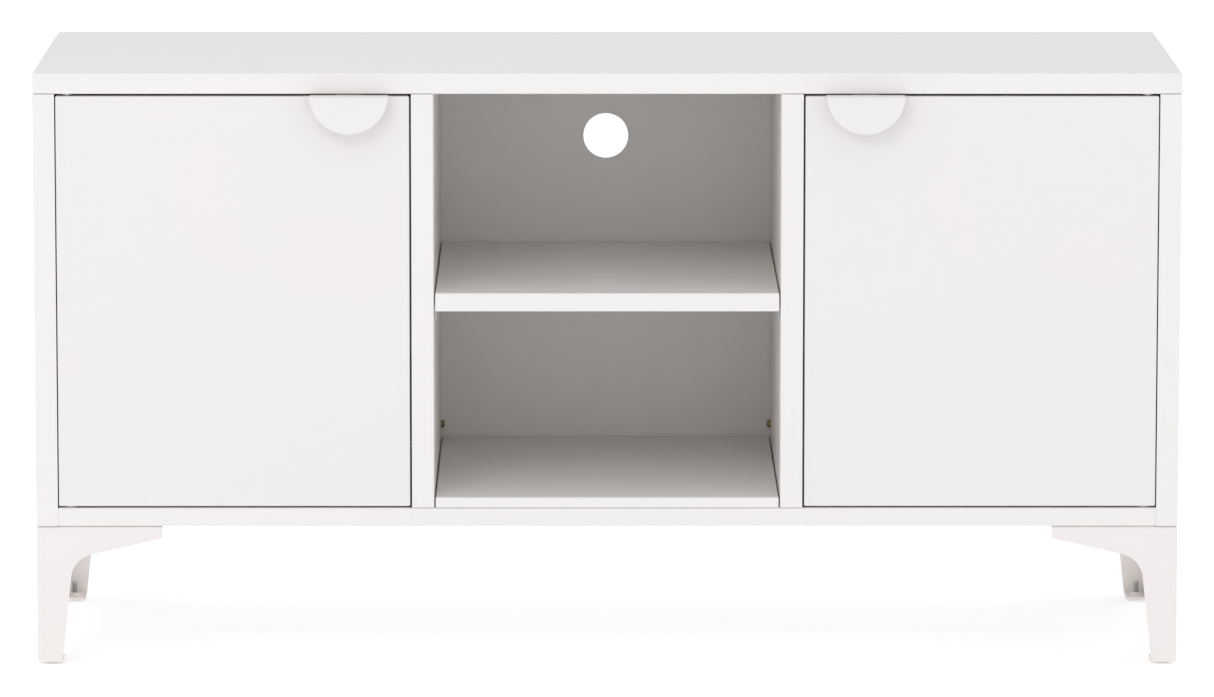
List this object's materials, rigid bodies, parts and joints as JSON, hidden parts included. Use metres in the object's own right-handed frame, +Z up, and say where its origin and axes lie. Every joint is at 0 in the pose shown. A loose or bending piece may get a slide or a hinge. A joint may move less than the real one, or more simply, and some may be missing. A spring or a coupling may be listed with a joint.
{
  "type": "tv stand with doors",
  "caption": "Low folded-steel TV cabinet on four gusseted corner legs, with open centre compartments between two hinged doors that have half-moon pulls.",
  "frame": {"origin": "on the floor, under the middle of the whole box, handles included", "axes": "+X along the width to the viewer's right, +Y from the doors to the back, +Z up"},
  "size_m": [1.2, 0.4396, 0.627],
  "materials": {
    "panel_coat": "matt white powder coat on folded steel sheet",
    "door_coat": "matt white powder coat on folded steel sheet",
    "leg_coat": "matt warm white powder coat on thicker steel",
    "zinc_plated_steel": "bright zinc plate",
    "yellow_zinc_steel": "dull yellow passivated zinc plate",
    "white_nylon": "moulded white nylon",
    "catch_plastic": "moulded grey plastic round a magnet"
  },
  "bodies": {
    "cabinet": {"top_panel": "panel_coat", "bottom_panel": "panel_coat", "back_panel": "panel_coat", "left_side_panel": "panel_coat", "right_side_panel": "panel_coat", "left_upright": "panel_coat", "right_upright": "panel_coat", "centre_floor": "panel_coat", "centre_shelf": "panel_coat", "left_cabinet_shelf": "panel_coat", "right_cabinet_shelf": "panel_coat", "front_left_leg": "leg_coat", "front_right_leg": "leg_coat", "rear_left_leg": "leg_coat", "rear_right_leg": "leg_coat", "centre_shelf_clip_front_left": "zinc_plated_steel", "centre_shelf_clip_front_right": "zinc_plated_steel", "centre_shelf_clip_rear_left": "zinc_plated_steel", "centre_shelf_clip_rear_right": "zinc_plated_steel", "left_shelf_clip_front_inner": "zinc_plated_steel", "left_shelf_clip_front_outer": "zinc_plated_steel", "left_shelf_clip_rear_inner": "zinc_plated_steel", "left_shelf_clip_rear_outer": "zinc_plated_steel", "right_shelf_clip_front_inner": "zinc_plated_steel", "right_shelf_clip_front_outer": "zinc_plated_steel", "right_shelf_clip_rear_inner": "zinc_plated_steel", "right_shelf_clip_rear_outer": "zinc_plated_steel", "left_upright_bolt": "yellow_zinc_steel", "right_upright_bolt": "yellow_zinc_steel", "front_left_leg_bolt": "yellow_zinc_steel", "front_right_leg_bolt": "yellow_zinc_steel", "rear_left_leg_bolt": "yellow_zinc_steel", "rear_right_leg_bolt": "yellow_zinc_steel", "left_door_top_bush": "white_nylon", "left_door_bottom_bush": "white_nylon", "right_door_top_bush": "white_nylon", "right_door_bottom_bush": "white_nylon", "left_magnet_catch": "catch_plastic", "right_magnet_catch": "catch_plastic"},
    "left_door": {"left_door": "door_coat", "left_door_rib": "door_coat", "left_handle": "door_coat", "left_handle_rivet_1": "door_coat", "left_handle_rivet_2": "door_coat", "left_door_top_pin": "zinc_plated_steel", "left_door_bottom_pin": "zinc_plated_steel"},
    "right_door": {"right_door": "door_coat", "right_door_rib": "door_coat", "right_handle": "door_coat", "right_handle_rivet_1": "door_coat", "right_handle_rivet_2": "door_coat", "right_door_top_pin": "zinc_plated_steel", "right_door_bottom_pin": "zinc_plated_steel"},
    "front_left_foot": {"front_left_foot": "white_nylon"},
    "front_right_foot": {"front_right_foot": "white_nylon"},
    "rear_left_foot": {"rear_left_foot": "white_nylon"},
    "rear_right_foot": {"rear_right_foot": "white_nylon"}
  },
  "joints": [
    {"name": "left_door_hinge", "type": "hinge", "parent": "cabinet", "child": "left_door", "pos_m": [-0.5642, -0.18925, 0.1693], "axis": [0, 0, -1], "range_deg": [0, 105]},
    {"name": "right_door_hinge", "type": "hinge", "parent": "cabinet", "child": "right_door", "pos_m": [0.5642, -0.18925, 0.1693], "axis": [0, 0, 1], "range_deg": [0, 105]},
    {"name": "front_left_foot_screw", "type": "slide", "parent": "cabinet", "child": "front_left_foot", "axis": [0, 0, -1], "range_m": [0, 0.008]},
    {"name": "front_right_foot_screw", "type": "slide", "parent": "cabinet", "child": "front_right_foot", "axis": [0, 0, -1], "range_m": [0, 0.008]},
    {"name": "rear_left_foot_screw", "type": "slide", "parent": "cabinet", "child": "rear_left_foot", "axis": [0, 0, -1], "range_m": [0, 0.008]},
    {"name": "rear_right_foot_screw", "type": "slide", "parent": "cabinet", "child": "rear_right_foot", "axis": [0, 0, -1], "range_m": [0, 0.008]}
  ]
}
